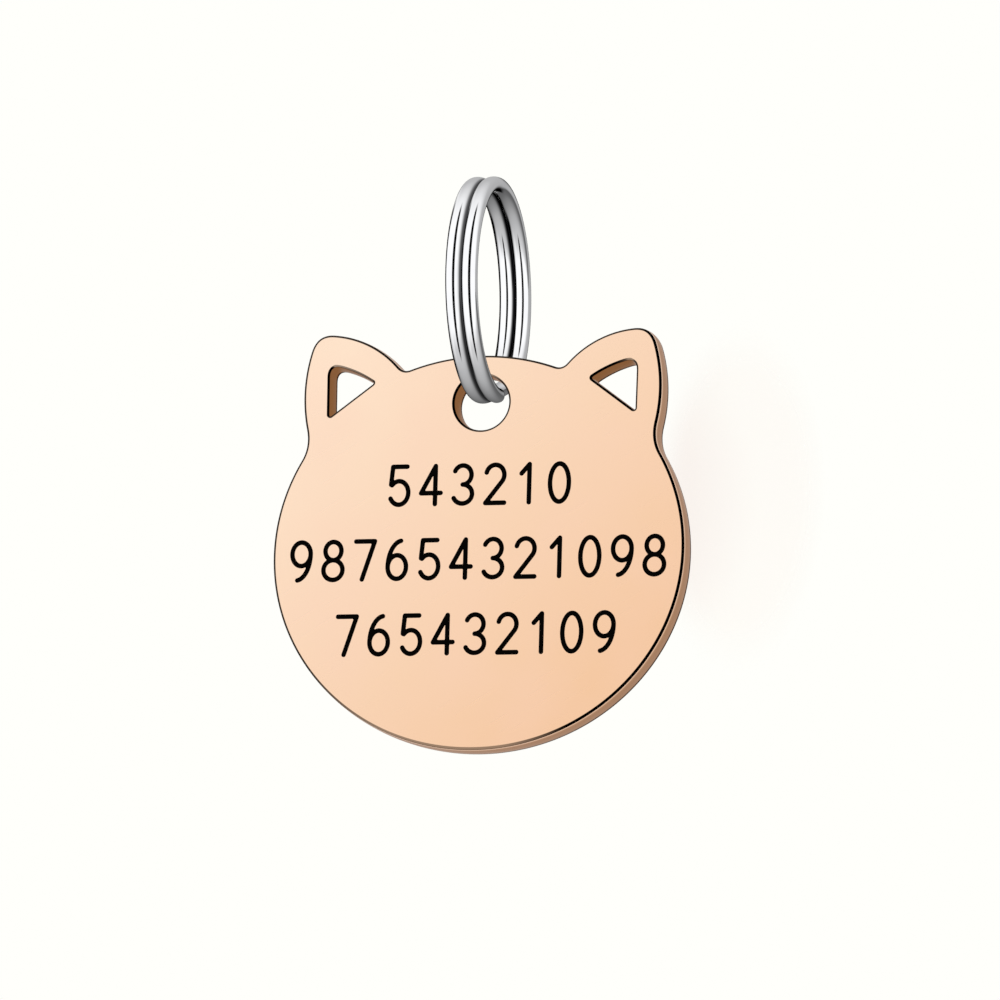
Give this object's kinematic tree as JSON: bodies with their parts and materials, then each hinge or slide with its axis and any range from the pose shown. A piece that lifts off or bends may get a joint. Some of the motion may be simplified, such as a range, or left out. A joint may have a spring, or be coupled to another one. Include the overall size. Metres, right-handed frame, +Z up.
{
  "type": "pet id tag",
  "caption": "Flat metal pet identity tag in a cat's head outline with pierced ears, hanging on a two-turn split ring for a collar.",
  "frame": {"origin": "centre of the split ring, in the space where the collar's own ring passes", "axes": "+X along the split ring's axis and across the head's width, +Y through the plate from its front to its back, +Z up, with the plate hanging below the origin"},
  "size_m": [0.028, 0.015, 0.0385],
  "materials": {
    "rose_gold_steel": "polished",
    "bright_steel": "polished"
  },
  "bodies": {
    "ring": {"split_ring": "bright_steel"},
    "tag": {"tag_plate": "rose_gold_steel"}
  },
  "joints": [
    {"name": "tag_round_ring", "type": "hinge", "parent": "ring", "child": "tag", "pos_m": [0, 0, 0], "axis": [1, 0, 0], "continuous": true}
  ]
}
